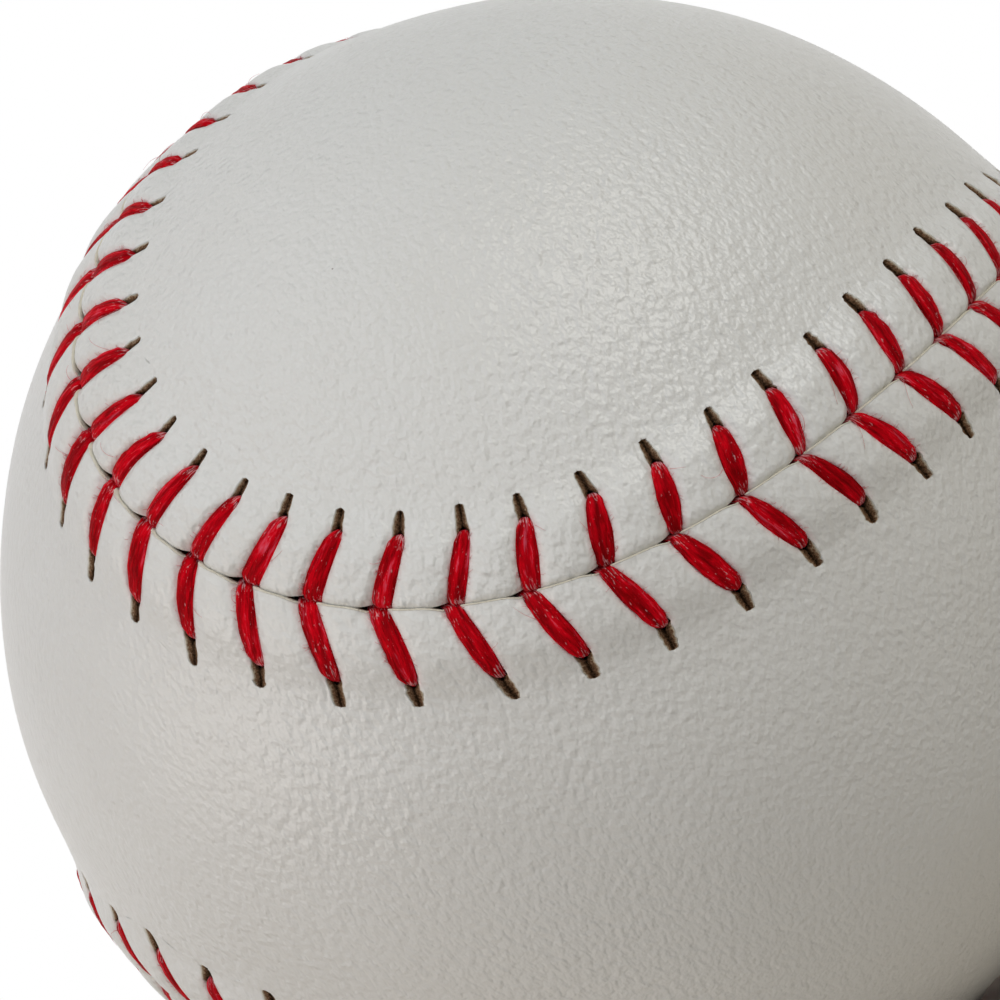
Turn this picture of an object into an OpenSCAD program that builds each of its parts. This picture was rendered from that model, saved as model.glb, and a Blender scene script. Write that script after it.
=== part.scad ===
// Baseball: a cork and rubber core, four windings, and a cowhide cover of two
// figure-eight panels that one long seam of double stitches draws together.
// Millimetres. The origin is the ball's centre. The seam crosses the X and Z axes,
// and each panel's narrow waist lies on the Y axis.

/* [Ball] */
// Diameter over the smooth leather, away from the seam
ball_d = 73.8; // [60:0.1:100]
// Thickness of the cowhide
leather_t = 1.27; // [0.9:0.01:1.8]

/* [Seam line] */
// How far the tongues of the panels swing round the ball, as a share
seam_swing_share = 0.4115; // [0.35:0.0005:0.45]
// How high the seam climbs towards the two waists, as a share
seam_climb_share = 1.2287; // [1.15:0.0001:1.3]
// How much fuller the seam is on the shoulders of its waves, as a share
seam_shoulder_share = 0.0287; // [0:0.0001:0.06]
// Width of the crease between the two cut edges
crease_w = 0.66; // [0.62:0.01:1]
// How far the leather is lifted each side of the crease
band_w = 8; // [7:0.1:10]

/* [Stitches] */
// Double stitches round the whole seam, an even number
stitches = 90; // [80:2:108]
// Where the first stitch lies, as a share of one stitch
first_stitch_share = 0.805; // [0:0.005:1]
// Distance from the crease to the middle of the thread in its hole
hole_u = 4.45; // [4:0.05:5]
// How far the slits of the rear panel lie ahead of their stitch
rear_lead = 1.1; // [0.9:0.05:1.5]
// How much further they lie ahead where the rear panel's tongues pull hardest
rear_pull = 1.1; // [0:0.05:1.2]
// How far the slits of the front panel lie ahead of their stitch
front_lead = 2; // [1:0.05:2.3]
// Half the distance between the two threads where they pass in the crease
cross_half = 0.6; // [0.55:0.01:0.8]
// How far the same pull carries the crossing of a stitch along the crease
cross_pull = 0.7; // [0:0.05:0.8]

/* [Thread] */
// Thickness of the flattened waxed thread
thread_t = 0.5; // [0.3:0.01:0.52]
// Width of the thread in its hole
thread_hole_w = 0.8; // [0.6:0.01:0.9]
// Width of the thread in the crease
thread_crease_w = 1.0; // [0.8:0.01:1.1]
// Width of the thread in the middle of a leg, where it lies on the leather
thread_leg_w = 1.45; // [1:0.01:1.6]

/* [Slits] */
// Length of a punched slit, which the pull of the thread has drawn open
slit_l = 1.9; // [1.7:0.05:2.2]
// Width of a punched slit at its widest
slit_w = 1.2; // [1.1:0.01:1.3]

/* [Core] */
// Diameter of the composition cork ball
cork_d = 20.6; // [18:0.1:22]
// Thickness of the two black rubber half shells
black_rubber_t = 3.2; // [2:0.1:4]
// Thickness of the red rubber gasket between the half shells
gasket_t = 1; // [0.6:0.05:1.5]
// Thickness of the red rubber moulded over the half shells
red_rubber_t = 3.2; // [2:0.1:4]

/* [Windings] */
// How much of the wound depth lies under the top of the thick grey wool, as a share
first_depth_share = 0.79; // [0.7:0.005:0.8]
// How much of it lies under the top of the white wool, as a share
second_depth_share = 0.885; // [0.85:0.005:0.9]
// How much of it lies under the top of the thin grey wool, as a share
third_depth_share = 0.97; // [0.95:0.005:0.98]

/* [Clearances] */
// Space between one layer and the next
layer_gap = 0.05; // [0.02:0.01:0.1]
// Space between the thread and what it lies on or passes through
thread_gap = 0.05; // [0.04:0.01:0.1]

/* [Hidden] */
$fn = 96;
cork_color = "#a9794e";
black_rubber_color = "#1d1c1b";
red_rubber_color = "#8f2a20";
grey_wool_color = "#8d8b86";
white_wool_color = "#dcd8cc";
cotton_color = "#e6e1d3";
leather_color = "#e3e1d8";
thread_color = "#a80c22";

// Share tables: what the leather and the thread do across the band beside the crease
function edge_share(s) = lookup(s, [[0, 0.5], [1, 0.7]]);
function pillow_share(s) = lookup(s, [[0, 0.9], [1, 1.45]]);
function lip_share(s) = lookup(s, [[0, 0.68], [0.5, 0.6], [1, 0.44]]);
crown_share = 0.2375;
crown_u = crown_share * band_w;
leg_mid_share = 0.5;
slit_near_share = 0.36;

// The seam as a curve on the unit sphere, and its length
line_steps = 720;
function unit(v) = v / norm(v);
function seam_at(t) = unit([
    cos(t) + seam_swing_share * cos(3 * t),
    seam_climb_share * sin(2 * t) + seam_shoulder_share * sin(6 * t),
    seam_swing_share * sin(3 * t) - sin(t)]);
seam_line = [for (i = [0 : line_steps]) seam_at(i * 360 / line_steps)];
seam_table = [for (i = 0, a = 0; i <= line_steps;
    a = a + (i < line_steps ? norm(seam_line[i + 1] - seam_line[i]) : 0), i = i + 1)
    [a, i * 360 / line_steps]];
seam_turn = seam_table[line_steps][0];
ball_r = ball_d / 2;
pitch = seam_turn * ball_r / stitches;
function wrap(x, n) = x - n * floor(x / n);

// Radii. The cover's flat facets lie up to facet_sag inside its true sphere, and the
// thread that runs under the leather lifts it beside the crease.
inner_r = ball_r - leather_t;
facet_sag = 0.0085 * ball_r;
wound_r = inner_r - facet_sag - layer_gap;
run_along = pitch + cross_half + cross_pull - front_lead;
run_sag = (pow(hole_u, 2) + pow(run_along, 2)) / (8 * wound_r);
under_r = wound_r + run_sag + thread_gap + thread_t / 2;
lift = under_r + thread_t / 2 + 2 * thread_gap - inner_r;
edge_r = ball_r + lift * edge_share(0);
lip_r = ball_r + lift * lip_share(0) + thread_gap + thread_t / 2;
leg_t = thread_t * 1.14;
leg_r = ball_r + lift * pillow_share(0) + 2 * thread_gap + leg_t / 2;
crease_r = edge_r + thread_gap + thread_t / 2;

// Layers of the core and the windings, from the cork outward
cork_r = cork_d / 2;
shells_r = cork_r + black_rubber_t;
core_r = shells_r + red_rubber_t;
function wound_at(depth) = core_r + (wound_r - core_r) * depth;

// A place on the seam, x counted in stitches: the direction out, along and across
function turn_at(x) = lookup(wrap(x + first_stitch_share, stitches) * seam_turn / stitches, seam_table);
function out_at(x) = seam_at(turn_at(x));
function along_at(x) = let (t = turn_at(x), o = seam_at(t), d = seam_at(t + 0.1) - seam_at(t - 0.1))
    unit(d - (d * o) * o);
function across_at(x) = cross(out_at(x), along_at(x));
function angle_of(u) = u / ball_r * 180 / PI;
function spot(x, u) = cos(angle_of(u)) * out_at(x) + sin(angle_of(u)) * across_at(x);
function side_at(x, u) = cos(angle_of(u)) * across_at(x) - sin(angle_of(u)) * out_at(x);

// A point near a place, moved ds along the seam and du across it
function near(x, u, r, ds, du) = r * unit(ball_r * spot(x, u) + ds * along_at(x) + du * side_at(x, u));

// The thread's pull on the rear panel is strongest beside the end of each of its tongues, in
// each half of the seam at pull_place_share of its length, and dies away over pull_reach.
pull_place_share = 0.68;
pull_reach = 14.5;
function pull_at(x) = let (half = stitches / 2,
    d = wrap(x + first_stitch_share + (0.5 - pull_place_share) * half, half) - half / 2)
    exp(-pow(d * pitch / pull_reach, 2));
function lead_of(k, side) = (side > 0 ? rear_lead + rear_pull * pull_at(k) : front_lead) / pitch;

// One figure-eight panel, side 1 at the rear and side -1 at the front. Each stitch has
// one cell of the lifted band, with its slit. The rest is filled with rows that run
// from one arm of the seam to the other.
cell = len(cell_points(0, 1));
outer_cols = 6;
inner_cols = 6;
function fold_of(side) = round(2 * (stitches * (side > 0 ? 3 : 1) / 8 - first_stitch_share));
// Where the leg of stitch k lies, at u from the crease
function cross_x(k, side) = k + (side * cross_half + cross_pull * pull_at(k)) / pitch;
function leg_x(k, side, u) = let (a = cross_x(k, side)) a + (k + lead_of(k, side) - a) * u / hole_u;
function slit_points(x, side, r_near, r_side, r_far) = let (
    u = side * hole_u, near_l = slit_l * slit_near_share, far_l = slit_l - near_l)
    [near(x, u, r_near, 0, -side * near_l), near(x, u, r_side, slit_w / 2, 0),
     near(x, u, r_far, 0, side * far_l), near(x, u, r_side, -slit_w / 2, 0)];
function cell_points(k, side) = let (
    e = side * crease_w / 2, c = side * crown_u, b = side * band_w,
    h = k + lead_of(k, side), g = leg_x(k, side, crown_u) - k)
    concat(
        [edge_r * spot(k, e), (ball_r + lift * edge_share(1)) * spot(k + 0.5, e),
         (ball_r + lift * pillow_share(0)) * spot(k + g, c),
         (ball_r + lift * pillow_share(1)) * spot(k + g + 0.5, c)],
        slit_points(h, side, ball_r + lift * lip_share(0), ball_r + lift * lip_share(0.5),
            ball_r + lift * lip_share(1)),
        [ball_r * spot(k, b), (inner_r + lift) * spot(k, e), (inner_r + lift) * spot(k + 0.5, e)],
        slit_points(h, side, inner_r + lift, inner_r + lift, inner_r + lift),
        [inner_r * spot(k, b)]);

function row_count(m) = stitches / 2 - (m % 2 == 0 ? 1 : 2);
function row_right(m, j) = wrap(ceil(m / 2) + j, stitches);
function row_left(m, j) = wrap(floor(m / 2) - j, stitches);
function between(a, b, s) = let (w = acos(max(-1, min(1, a * b))))
    (sin(w * (1 - s)) * a + sin(w * s) * b) / sin(w);
function fill_points(side, m, r, cols) = [for (j = [1 : row_count(m)]) for (c = [1 : cols - 1])
    r * between(spot(row_right(m, j), side * band_w), spot(row_left(m, j), side * band_w), c / cols)];

function fan_faces(a0, a1, m, cols, row, first) = let (half = cols / 2) concat(
    [for (c = [0 : cols - 1]) let (e = c < half ? a0 : a1)
        first ? [e, row[c], row[c + 1]] : [row[c], e, row[c + 1]]],
    a0 == a1 ? [] : [first ? [a1, a0, row[half]] : [a0, a1, row[half]]]);
function fill_faces(m, base, ring, cols) = let (
    n = row_count(m),
    rows = [for (j = [1 : n]) concat([row_right(m, j) * cell + ring],
        [for (c = [1 : cols - 1]) base + (j - 1) * (cols - 1) + c - 1],
        [row_left(m, j) * cell + ring])])
    concat(
        fan_faces(row_right(m, 0) * cell + ring, row_left(m, 0) * cell + ring, m, cols, rows[0], true),
        [for (j = [0 : n - 2]) for (c = [0 : cols - 1])
            each [[rows[j][c], rows[j + 1][c], rows[j + 1][c + 1]],
                  [rows[j][c], rows[j + 1][c + 1], rows[j][c + 1]]]],
        fan_faces(row_right(m, n + 1) * cell + ring, row_left(m, n + 1) * cell + ring, m, cols,
            rows[n - 1], false));

// The nine triangles between a cell's border and its slit
function slit_faces(a, b, h) = [
    [a[0], a[1], h[0]], [a[1], h[1], h[0]], [a[1], a[2], h[1]], [a[2], b[1], h[1]],
    [b[1], h[2], h[1]], [b[1], b[0], h[2]], [b[0], h[3], h[2]], [b[0], a[0], h[3]],
    [a[0], h[0], h[3]]];
function flip(f) = [for (t = f) [t[2], t[1], t[0]]];
function cell_faces(k) = let (
    p = k * cell, q = (k + 1) % stitches * cell,
    edge = [p, p + 1, q], crown = [p + 2, p + 3, q + 2], low = [p + 9, p + 10, q + 9],
    slit = [for (i = [4 : 7]) p + i], under = [for (i = [11 : 14]) p + i])
    concat(
        [for (i = [0, 1]) each [[edge[i], edge[i + 1], crown[i + 1]], [edge[i], crown[i + 1], crown[i]],
            [low[i], low[i + 1], edge[i + 1]], [low[i], edge[i + 1], edge[i]]]],
        slit_faces(crown, [p + 8, q + 8], slit),
        flip(slit_faces(low, [p + cell - 1, q + cell - 1], under)),
        [for (i = [0 : 3]) let (n = (i + 1) % 4) each [[slit[i], slit[n], under[n]],
            [slit[i], under[n], under[i]]]]);

module panel(side) {
    m = fold_of(side);
    outer_base = stitches * cell;
    inner_base = outer_base + row_count(m) * (outer_cols - 1);
    faces = concat(
        [for (k = [0 : stitches - 1]) each cell_faces(k)],
        fill_faces(m, outer_base, 8, outer_cols),
        flip(fill_faces(m, inner_base, cell - 1, inner_cols)));
    polyhedron(
        points = concat(
            [for (k = [0 : stitches - 1]) each cell_points(k, side)],
            fill_points(side, m, ball_r, outer_cols),
            fill_points(side, m, inner_r, inner_cols)),
        faces = side > 0 ? flip(faces) : faces,
        convexity = 10);
}

// One needle's thread. It comes up through a slit, lies over the leather as one leg of
// a V, goes down the crease, runs under the other panel, and comes up through that
// panel's slit one stitch further back. Five places a stitch carry its flat section.
function thread_ring(x, u, r, w, t, a, b) = let (
    c = r * spot(x, u), s = along_at(x) * w / 2, f = (a * side_at(x, u) + b * spot(x, u)) * t / 2)
    [c - s, c + f, c + s, c - f];
function stitch_rings(k, side) = let (
    hole_x = k + lead_of(k, side), cross = cross_x(k, side),
    mid_x = leg_x(k, side, hole_u * leg_mid_share), u = side * hole_u)
    concat(
        thread_ring(hole_x, u, under_r, thread_hole_w, thread_t, 1, -side),
        thread_ring(hole_x, u, lip_r, thread_hole_w, thread_t, 1, side),
        thread_ring(mid_x, u * leg_mid_share, leg_r, thread_leg_w, leg_t, 0, side),
        thread_ring(cross, 0, crease_r, thread_crease_w, thread_t, -1, side),
        thread_ring(cross, 0, under_r, thread_crease_w, thread_t, -1, side));

module needle_thread(first_side) {
    places = stitches * 5;
    polyhedron(
        points = [for (j = [0 : stitches - 1]) each stitch_rings(stitches - j, first_side * (j % 2 == 0 ? 1 : -1))],
        faces = [for (i = [0 : places - 1]) for (v = [0 : 3]) let (
            n = (i + 1) % places, w = (v + 1) % 4)
            each [[i * 4 + v, n * 4 + w, n * 4 + v], [i * 4 + v, i * 4 + w, n * 4 + w]]],
        convexity = 10);
}

// A hollow layer from just over the one below it, at radius below, up to radius top
module layer(top, below) {
    difference() {
        sphere(r = top);
        sphere(r = below + layer_gap);
    }
}

module cork_core() {
    color(cork_color) sphere(r = cork_r);
}

// Half of the black rubber layer, up 1 above the gasket and -1 below it
module half_shell(up) {
    reach = 2 * shells_r;
    seat = gasket_t / 2 + layer_gap;
    difference() {
        layer(shells_r, cork_r);
        translate([-reach / 2, -reach / 2, up > 0 ? seat - reach : -seat]) cube(reach);
    }
}

module inner_shell_upper() {
    color(black_rubber_color) half_shell(1);
}

module inner_shell_lower() {
    color(black_rubber_color) half_shell(-1);
}

module shell_gasket() {
    color(red_rubber_color) intersection() {
        layer(shells_r, cork_r);
        cylinder(r = 2 * shells_r, h = gasket_t, center = true);
    }
}

module outer_rubber_cover() {
    color(red_rubber_color) layer(core_r, shells_r);
}

module first_wool_winding() {
    color(grey_wool_color) layer(wound_at(first_depth_share), core_r);
}

module second_wool_winding() {
    color(white_wool_color) layer(wound_at(second_depth_share), wound_at(first_depth_share));
}

module third_wool_winding() {
    color(grey_wool_color) layer(wound_at(third_depth_share), wound_at(second_depth_share));
}

module finishing_winding() {
    color(cotton_color) layer(wound_r, wound_at(third_depth_share));
}

module cover_panel_rear() {
    color(leather_color) panel(1);
}

module cover_panel_front() {
    color(leather_color) panel(-1);
}

module thread_first_needle() {
    color(thread_color) needle_thread(1);
}

module thread_second_needle() {
    color(thread_color) needle_thread(-1);
}

echo(seam_length = seam_turn * ball_r, pitch = pitch, seam_lift = lift,
    folds = [fold_of(1), fold_of(-1)], top_of_a_leg = leg_r + leg_t / 2);

cork_core();
inner_shell_upper();
inner_shell_lower();
shell_gasket();
outer_rubber_cover();
first_wool_winding();
second_wool_winding();
third_wool_winding();
finishing_winding();
cover_panel_rear();
cover_panel_front();
thread_first_needle();
thread_second_needle();
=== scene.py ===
# Baseball: the cowhide cover with its punched slits, and the waxed thread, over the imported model.

import math
from functools import partial

import bpy
import numpy as np
from mathutils import Matrix, Vector


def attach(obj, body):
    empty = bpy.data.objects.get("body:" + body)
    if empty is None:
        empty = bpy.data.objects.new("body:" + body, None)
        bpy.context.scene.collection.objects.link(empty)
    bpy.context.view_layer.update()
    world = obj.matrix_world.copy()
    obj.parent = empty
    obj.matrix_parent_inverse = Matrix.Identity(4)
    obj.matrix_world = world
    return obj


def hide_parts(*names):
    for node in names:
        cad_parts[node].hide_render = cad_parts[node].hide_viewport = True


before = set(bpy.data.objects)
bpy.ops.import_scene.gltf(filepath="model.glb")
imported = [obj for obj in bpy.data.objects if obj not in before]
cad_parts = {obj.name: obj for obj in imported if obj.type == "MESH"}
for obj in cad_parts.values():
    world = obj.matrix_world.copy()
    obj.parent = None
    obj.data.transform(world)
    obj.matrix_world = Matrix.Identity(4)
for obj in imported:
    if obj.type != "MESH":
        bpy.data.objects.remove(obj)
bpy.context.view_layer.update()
scene = bpy.context.scene
scene.view_settings.view_transform = "Standard"
print("frame loaded:", len(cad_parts), "nodes")


def addObject(name, data):
    thing = bpy.data.objects.new(name, data)
    scene.collection.objects.link(thing)
    return thing


# Camera, at the photograph's viewing angle: level with the ball and rolled on its own axis

cameraPlace = dict(
    position=(0.22094, -0.21108, 0.00746),
    right=(0.56368, 0.59364, -0.57433),
    up=(0.39339, 0.41846, 0.81862),
    back=(0.72630, -0.68737, 0.00235),
    lens=171.9,
)


def addCamera():
    data = bpy.data.cameras.new("camera")
    data.lens = cameraPlace["lens"]
    data.sensor_width = 36
    data.clip_start = 0.01
    camera = addObject("camera", data)
    axes = Matrix((cameraPlace["right"], cameraPlace["up"], cameraPlace["back"])).transposed()
    camera.matrix_world = Matrix.Translation(cameraPlace["position"]) @ axes.to_4x4()
    scene.camera = camera


addCamera()


# Sizes that the leather and the thread share, in millimetres

ball = dict(
    radius=36.9,
    leather=1.27,
    stitches=90,
    firstStitchShare=0.805,  # where the first stitch lies on the seam, as a share of one stitch
    swingShare=0.4115,       # the seam's curve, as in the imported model
    climbShare=1.2287,
    shoulderShare=0.0287,
    seamLift=0.44,           # how far the thread under the leather lifts it beside the crease
    liftFrom=5.9,            # where that lift starts to go down, and over what distance
    liftOver=2.1,
    skinRise=0.3,            # and how much of it shows in the skin
    riseFrom=2,
    riseOver=6,
)

stitch = dict(
    # pairs are for the rear and the front panel
    holeAt=(3.85, 4.15),     # from the crease to the thread in its hole
    holePull=(0.45, 0.1),    # and how much further beside the rear tongues
    lead=(0.97, 1.86),       # how far the slits lie ahead of their stitch
    leadPull=(0.95, 0.0),
    leadTight=(0.2, 0.0),    # and how much further where the thread lies tight
    crossShift=0.1,          # how far either side the two legs of a stitch meet the crease
    crossPull=0.7,
    crossTight=0.24,
    pullPlaceShare=0.68,     # where in each half of the seam the tongues pull hardest, and how far
    pullReach=14.5,
    tightPlaceShare=0.93,    # and where the thread lies tight and narrow in the crease
    tightReach=22,
    slitFrom=(3.0, 3.3),     # where a slit starts and ends, from the crease
    slitTo=(5.45, 5.8),
    slitHalf=0.44,
    slitLean=(-0.16, 0.22),  # how far a slit leans along the seam, as a slope
    leanPull=(0.18, 0.0),
    leanTight=(0.28, -0.12),
    tipPull=(0.35, 0.0),     # how far the tongues pull a slit's outer end
    bow=0.02,                # how far a leg bends to one side
    jitter=0.1,              # how unevenly a hand sews: the slits' places
    crossJitter=0.06,        # the crossings, the slits' lean and ends, and the legs' width and bend
    leanJitter=0.07,
    tipJitter=0.12,
    widthJitter=0.06,
    bowJitter=0.07,
)

rng = np.random.default_rng(18)
stitchCount = ball["stitches"]


def seamPoint(t):
    p = np.stack([
        np.cos(t) + ball["swingShare"] * np.cos(3 * t),
        ball["climbShare"] * np.sin(2 * t) + ball["shoulderShare"] * np.sin(6 * t),
        ball["swingShare"] * np.sin(3 * t) - np.sin(t)], -1)
    return p / np.linalg.norm(p, axis=-1, keepdims=True)


seamTurns = np.linspace(0, 2 * math.pi, 14401)
seamRun = np.concatenate([[0], np.cumsum(np.linalg.norm(np.diff(seamPoint(seamTurns), axis=0), axis=1))])
pitch = seamRun[-1] * ball["radius"] / stitchCount


# A place near the seam: x counts stitches along it, u is the distance from the crease towards
# the rear panel, and the height is over the smooth ball

def turnAt(x):
    share = np.mod(np.asarray(x, float) + ball["firstStitchShare"], stitchCount) / stitchCount
    return np.interp(share * seamRun[-1], seamRun, seamTurns)


def seamFrame(x):
    t = turnAt(x)
    out = seamPoint(t)
    along = seamPoint(t + 0.001) - seamPoint(t - 0.001)
    along -= out * np.sum(along * out, -1, keepdims=True)
    along /= np.linalg.norm(along, axis=-1, keepdims=True)
    return out, along, np.cross(out, along)


def direction(x, u):
    out, along, across = seamFrame(x)
    angle = np.asarray(u)[..., None] / ball["radius"]
    return np.cos(angle) * out + np.sin(angle) * across


def smooth(x):
    x = np.clip(x, 0, 1)
    return x * x * (3 - 2 * x)


def strengthAt(k, placeShare, reach):
    # how strongly stitch k feels something whose middle lies at a share of each half of the seam
    half = stitchCount / 2
    off = np.mod(k + ball["firstStitchShare"] + (0.5 - placeShare) * half, half) - half / 2
    return np.exp(-(off * pitch / reach) ** 2)


# Where each leg meets the crease and comes out of its slit, in millimetres ahead of its stitch.
# Row 0 is the rear panel, row 1 the front one.

everyStitch = np.arange(stitchCount)
sides = np.array([1, -1])
pull = strengthAt(everyStitch, stitch["pullPlaceShare"], stitch["pullReach"])
tight = strengthAt(everyStitch, stitch["tightPlaceShare"], stitch["tightReach"])


def eachRow(name, byPull=None, byTight=None):
    value = np.array(stitch[name])[:, None] * np.ones(stitchCount)
    if byPull:
        value += np.array(stitch[byPull])[:, None] * pull
    if byTight:
        value += np.array(stitch[byTight])[:, None] * tight
    return value


holeAt = eachRow("holeAt", "holePull")
crossAt = sides[:, None] * stitch["crossShift"] + stitch["crossPull"] * pull + stitch["crossTight"] * tight
crossAt = crossAt + rng.normal(0, stitch["crossJitter"], stitchCount)
leadAt = eachRow("lead", "leadPull", "leadTight") + rng.normal(0, stitch["jitter"], (2, stitchCount))
leanAt = eachRow("slitLean", "leanPull", "leanTight") + rng.normal(0, stitch["leanJitter"], (2, stitchCount))
tipShift = rng.normal(0, stitch["tipJitter"], (2, stitchCount)) + np.array(stitch["tipPull"])[:, None] * pull
widest = 2 * stitch["widthJitter"]
widthAt = 1 + np.clip(rng.normal(0, stitch["widthJitter"], (2, stitchCount)), -widest, widest)
bowAt = rng.normal(stitch["bow"], stitch["bowJitter"], (2, stitchCount))


def legOffset(row, k, u):
    k = np.mod(k, stitchCount)
    v = np.clip(u / holeAt[row, k], 0, 1)
    line = crossAt[row, k] + (leadAt[row, k] - crossAt[row, k]) * v - bowAt[row, k] * np.sin(math.pi * v)
    return line + leanAt[row, k] * np.maximum(0, u - holeAt[row, k])


def baseLift(u):
    return ball["skinRise"] * (1 - smooth((np.abs(u) - ball["riseFrom"]) / ball["riseOver"]))


# A leg of thread, from the crease (v = 0) to its hole (v = 1)

leg = dict(
    crossWidth=1.3,          # where it meets the crease, and how much less where the thread lies tight
    crossTight=0.6,
    holeWidth=1.0,
    passShare=0.6,           # how much of the leg the one width takes to become the other
    swell=(0.4, 0.37),       # how much wider it is half way
    swellTight=0.16,         # and what is added where it lies tight and where it is pulled
    swellPull=(0.1, 0.38),
    swellPower=0.65,         # how blunt the swelling's ends are
    thick=0.46,              # its thickness at the ends, and what is added half way
    thicker=0.16,
    rise=0.24,               # the height of its middle over the lifted leather
    risePower=0.8,
    seat=0.04,
    dip=0.14,                # and how deep it dips towards the crease
    dipShare=0.12,
)


def legWidth(row, k, v):
    v = np.clip(v, 0, 1)
    first = leg["crossWidth"] - leg["crossTight"] * tight[k]
    swell = leg["swell"][row] + leg["swellTight"] * tight[k] + leg["swellPull"][row] * pull[k]
    plain = first + (leg["holeWidth"] - first) * smooth(v / leg["passShare"])
    return (plain + swell * np.sin(math.pi * v) ** leg["swellPower"]) * widthAt[row, k]


def legThick(v):
    return leg["thick"] + leg["thicker"] * np.sin(math.pi * np.clip(v, 0, 1))


def legHeight(v):
    v = np.clip(v, 0, 1)
    dip = leg["dip"] * np.exp(-(v / leg["dipShare"]) ** 2)
    return leg["rise"] * np.sin(math.pi * v) ** leg["risePower"] - leg["seat"] - dip


# Colours, nodes, materials and meshes

def toLinear(hexColour):
    channels = [int(hexColour[i:i + 2], 16) / 255 for i in (1, 3, 5)]
    return (*[c / 12.92 if c <= 0.04045 else ((c + 0.055) / 1.055) ** 2.4 for c in channels], 1)


def addNode(tree, kind, settings=None, **links):
    # settings are the node's own values and a ramp's stops. Links feed its sockets, by name or by
    # number (i0, i1), and a node stands for its first output in use.
    node = tree.nodes.new("ShaderNode" + kind)
    for key, value in (settings or {}).items():
        if key == "stops":
            marks = node.color_ramp.elements
            while len(marks) < len(value):
                marks.new(0.5)
            for mark, (place, shade) in zip(marks, value):
                mark.position = place
                mark.color = toLinear(shade) if isinstance(shade, str) else (shade, shade, shade, 1)
        else:
            setattr(node, key, value)
    for key, value in links.items():
        socket = node.inputs[int(key[1:])] if key[1:].isdigit() else node.inputs[key.replace("_", " ")]
        if isinstance(value, bpy.types.Node):
            value = next(output for output in value.outputs if output.enabled)
        if isinstance(value, bpy.types.NodeSocket):
            tree.links.new(value, socket)
        else:
            socket.default_value = value
    return node


multiply, add = dict(operation="MULTIPLY"), dict(operation="ADD")
multiplyAdd, larger = dict(operation="MULTIPLY_ADD"), dict(operation="MAXIMUM")
colours = dict(data_type="RGBA")


def startMaterial(name):
    # an empty material, and a function that adds nodes to it
    material = bpy.data.materials.new(name)
    material.use_nodes = True
    material.node_tree.nodes.clear()
    return material, partial(addNode, material.node_tree)


def triangleRows(*cornerLists):
    # each list has three grids of point numbers, and gives a triangle for each place in them
    return np.concatenate([np.stack(corners, -1).reshape(-1, 3) for corners in cornerLists])


def addMesh(name, points, triangles, masks, material, uv=None):
    mesh = bpy.data.meshes.new(name)
    mesh.from_pydata((points * 0.001).tolist(), [], triangles.tolist())
    for key, values in masks.items():
        mesh.attributes.new(key, "FLOAT", "POINT").data.foreach_set("value", values.astype(np.float32))
    if uv is not None:
        mesh.uv_layers.new(name="thread").data.foreach_set("uv", uv.astype(np.float32).ravel())
    mesh.shade_smooth()
    mesh.materials.append(material)
    thing = addObject(name, mesh)
    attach(thing, "root")
    print(name, len(triangles), "triangles")
    return thing


leatherLook = dict(
    coat="#E5E5E3",
    coatWarm="#DEDCD7",
    # the cut fibre's browns are painted darker with depth as painted shade, and the cut edge's cream is
    # painted bright as its highlight
    flesh="#937055",
    fleshDarkInShade="#44301E",
    fleshPale="#C9B79C",
    litCutEdge="#FFF8E6",
    speck="#5C4030",
    rub="#C2505C",
    grainWidth=0.42,         # millimetres, the wrinkles of the skin
    pebbleWidth=0.5,         # and the pebbles between them
    fineWidth=0.2,
    foldWidth=1.1,           # the soft folds that the thread pulls into it
    fibreWidth=0.13,
    speckWidth=0.17,
    speckCells=300.0,        # to a metre, one speck at most in each
    speckRare=0.86,          # the share of the cells without one
    speckStrength=0.6,
    lintStrength=0.28,
    grainDeep=(0.00023, 0.00018),    # metres, of the rear and of the smoother front panel
    # what each pattern adds to the relief
    relief=dict(fine=0.14, grain=0.7, pebble=-0.38, fold=0.55, fibre=1.2),
    roughness=0.33,
    shine=0.35,
    fleshShine=0.03,
)


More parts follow.
